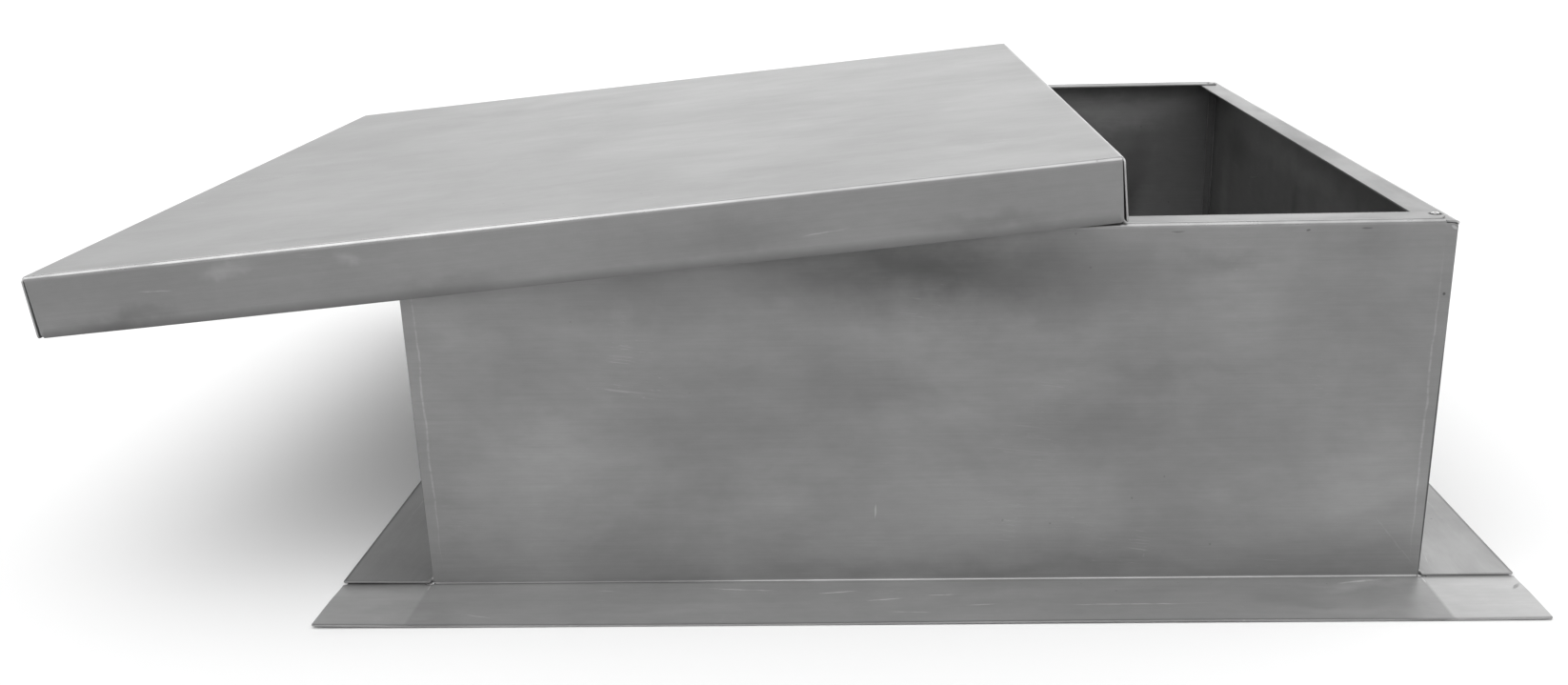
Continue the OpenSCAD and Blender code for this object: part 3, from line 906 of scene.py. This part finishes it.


# Marks, given as (u, v, half length, half width, angle in degrees, strength)
end_light_spots = []
for side in (-1, 1):
    # Painted shadow round the rivet's head, a painted highlight on the nipped corner,
    # painted shade in the notch, and a painted highlight at the start of the wing's crease
    end_light_spots += [
        (side * RIVET.x, RIVET_V + 0.0014, 0.0064, 0.0060, 0, -0.9),
        (side * (HALF_W - 0.0045), V_TOP + 0.0035, 0.0032, 0.0014, side * 35, 0.6),
        (side * (HALF_W - 0.0008), V_FLANGE - 0.0016, 0.0030, 0.0030, 0, -0.8),
        (side * HALF_W, out(0.008), 0.0008, 0.006, 0, 0.45)]
# Painted shade in the seam where the front wall stops short of the right side wall
front_seam_shade = [(HALF_W - SEAM - 0.0005, up(0.10), 0.0010, 0.12, 0, -0.7)]
front_smudges_and_shadow = [
    # The first mark is a painted shadow that the lid's skirt casts on the wall below it
    (0.0, up(0.272), 0.23, 0.060, 3, -0.60), (-0.24, up(0.255), 0.14, 0.040, 4, -0.22),
    (-0.30, up(0.110), 0.075, 0.060, 10, 0.16), (-0.36, up(0.215), 0.04, 0.04, 0, 0.10),
    (0.26, up(0.235), 0.060, 0.040, -8, 0.12), (0.36, up(0.10), 0.05, 0.09, 0, 0.10),
    (-0.04, up(0.175), 0.080, 0.035, 0, -0.13), (-0.33, up(0.20), 0.10, 0.07, 0, -0.08),
    (0.13, up(0.135), 0.100, 0.040, 3, -0.14),
    (0.23, up(0.275), 0.060, 0.012, -3, -0.16), (0.20, up(0.185), 0.09, 0.012, 2, -0.10),
    (-0.12, up(0.070), 0.06, 0.03, 0, 0.10), (0.02, up(0.012), 0.36, 0.012, 0, -0.10),
    (-0.455, out(0.045), 0.04, 0.03, 0, 0.10), (0.30, out(0.045), 0.05, 0.025, 10, -0.12),
    (-0.20, out(0.050), 0.10, 0.02, 0, 0.08), (0.10, out(0.020), 0.12, 0.015, 0, 0.08),
    (0.36, out(0.014), 0.055, 0.010, -8, 0.22), (0.33, out(0.060), 0.07, 0.012, 0, 0.14)]
front_scratches = [
    (-TAB_LINE, up(0.15), 0.0011, 0.15, 0, 0.26), (TAB_LINE, up(0.15), 0.0011, 0.15, 0, 0.26),
    (0.391, up(0.033), 0.034, 0.0009, 52, 0.12), (-0.037, up(0.065), 0.0009, 0.008, 0, 0.45),
    (-0.15, out(0.016), 0.034, 0.0011, 6, 0.6), (-0.07, out(0.022), 0.020, 0.0010, -7, 0.7),
    (-0.03, out(0.036), 0.018, 0.0010, -9, 0.6), (0.02, out(0.028), 0.022, 0.0009, -4, 0.6),
    (0.05, out(0.046), 0.016, 0.0009, -8, 0.5), (-0.01, out(0.058), 0.020, 0.0009, 3, 0.5),
    (0.17, out(0.048), 0.070, 0.0010, -1, 0.5), (0.365, out(0.009), 0.024, 0.0022, -9, 0.5),
    (-0.36, out(0.060), 0.014, 0.0009, 12, 0.4), (0.409, up(0.245), 0.0017, 0.0017, 0, -0.6),
    (0.486, out(0.022), 0.009, 0.0020, -50, -0.5), (-0.27, up(0.292), 0.004, 0.0012, 0, -0.5),
    (0.30, up(0.2985), 0.0022, 0.0010, 0, -0.5), (0.345, up(0.2985), 0.005, 0.0009, 0, -0.4),
    (0.20, up(0.2985), 0.007, 0.0009, 0, -0.35)]
# The last mark is painted shade, which darkens the lid towards its left end
lid_smudges_and_shade = [
    (-0.268, on_skirt(0.010), 0.030, 0.010, 0, 0.30), (-0.173, on_skirt(0.009), 0.012, 0.008, 0, 0.26),
    (-0.36, on_skirt(0.040), 0.060, 0.012, 0, -0.22), (-0.10, on_skirt(0.038), 0.09, 0.012, 0, -0.18),
    (0.12, on_skirt(0.026), 0.10, 0.020, 0, -0.14), (0.33, on_skirt(0.034), 0.07, 0.014, 0, -0.20),
    (-0.20, -0.405, 0.10, 0.012, 0, -0.08), (0.24, -0.10, 0.05, 0.02, 20, -0.07),
    (0.05, 0.20, 0.20, 0.12, 10, 0.05), (-0.42, 0.05, 0.50, 0.80, 0, -0.16)]
lid_scratches = [
    (0.24, -0.20, 0.035, 0.0010, 12, -0.16), (0.10, 0.10, 0.020, 0.0008, 30, 0.20),
    (-0.25, -0.30, 0.028, 0.0009, -6, -0.18), (-0.05, -0.36, 0.040, 0.0008, 3, 0.20),
    (0.35, 0.28, 0.022, 0.0009, 15, -0.20), (0.20, on_skirt(0.030), 0.022, 0.0009, 4, 0.3),
    (-0.33, on_skirt(0.020), 0.016, 0.0009, -5, 0.3)]
# Painted reflections of the surroundings on the walls' inner faces; they show faintly on the outer
# faces too
inner_reflections = [
    (0.10, up(0.20), 0.10, 0.05, 60, 0.35), (0.30, up(0.15), 0.03, 0.12, 12, -0.40),
    (0.20, up(0.22), 0.02, 0.08, -15, -0.40), (-0.15, up(0.12), 0.12, 0.06, 0, 0.25),
    (-0.28, up(0.24), 0.10, 0.03, 0, -0.25), (0.0, up(0.265), 0.30, 0.02, 0, 0.30),
    (-0.02, up(0.20), 0.02, 0.09, 8, -0.35), (-0.33, up(0.15), 0.03, 0.11, -5, 0.30)]
# The added mark is painted light: a lighter band on the back wall's inner face, just below the rim
back_reflections_and_light = inner_reflections + [(0.25, up(0.272), 0.20, 0.045, 0, 0.8)]
side_scratches = [
    (0.0, out(0.059), 0.38, 0.0008, 0, 0.30), (0.12, up(0.14), 0.03, 0.0009, 8, 0.4),
    (-0.20, up(0.22), 0.02, 0.0008, -12, 0.4), (0.30, out(0.03), 0.02, 0.0009, 20, 0.4)]

CURB_TONE = 0.228
LID_TONE = 0.302
finishes = {
    "front_wall": sheet_metal("front_sheet_metal", CURB_TONE, mirrored(front_smudges_and_shadow),
                              mirrored(front_scratches), end_light_spots + mirrored(front_seam_shade)),
    "back_wall": sheet_metal("back_sheet_metal", CURB_TONE, back_reflections_and_light, side_scratches[1:],
                             end_light_spots, outside=0.3),
    "left_wall": sheet_metal("left_sheet_metal", CURB_TONE, inner_reflections[:4], side_scratches,
                             outside=0.3),
    "right_wall": sheet_metal("right_sheet_metal", CURB_TONE, inner_reflections, side_scratches,
                              outside=0.3)}
for name, obj in walls.items():
    obj.data.materials.append(finishes[name])
lid.data.materials.append(sheet_metal("lid_sheet_metal", LID_TONE, lid_smudges_and_shade, lid_scratches,
                                      specks=0.4, smeared=0.03, clouded=0.03))
metals = {"rivet": fastener_metal("rivet_metal", 0.62, 0.28, 0.0),
          "mandrel": fastener_metal("mandrel_steel", 0.40, 0.35, -0.0006)}
for kind, part in fasteners:
    part.data.materials.append(metals[kind])
